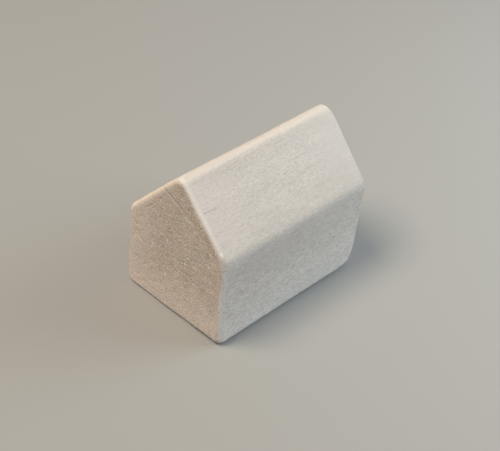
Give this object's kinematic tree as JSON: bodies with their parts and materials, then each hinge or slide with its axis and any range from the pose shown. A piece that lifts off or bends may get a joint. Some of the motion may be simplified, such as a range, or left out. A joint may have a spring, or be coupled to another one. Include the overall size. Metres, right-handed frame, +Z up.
{
  "type": "game house piece",
  "caption": "Small house-shaped wooden playing piece with a pitched roof, rounded edges and a thin white coat of paint; it stands on its flat base as a marker on a game board.",
  "frame": {"origin": "on the surface that the piece stands on, under the middle of its length and width", "axes": "+X along the ridge and the grain towards the leaning gable, -Y out of the front wall, +Z up"},
  "size_m": [0.015, 0.01, 0.0122],
  "materials": {
    "timber": "bare close-grained hardwood, moulded along the grain and sawn across it at the gables",
    "white_paint": "thin matt white paint: the grain prints through on the long faces, and the end grain of the gables drinks it in and shows tan"
  },
  "bodies": {
    "root": {"wood_block": "timber", "paint_coat": "white_paint"}
  },
  "joints": []
}
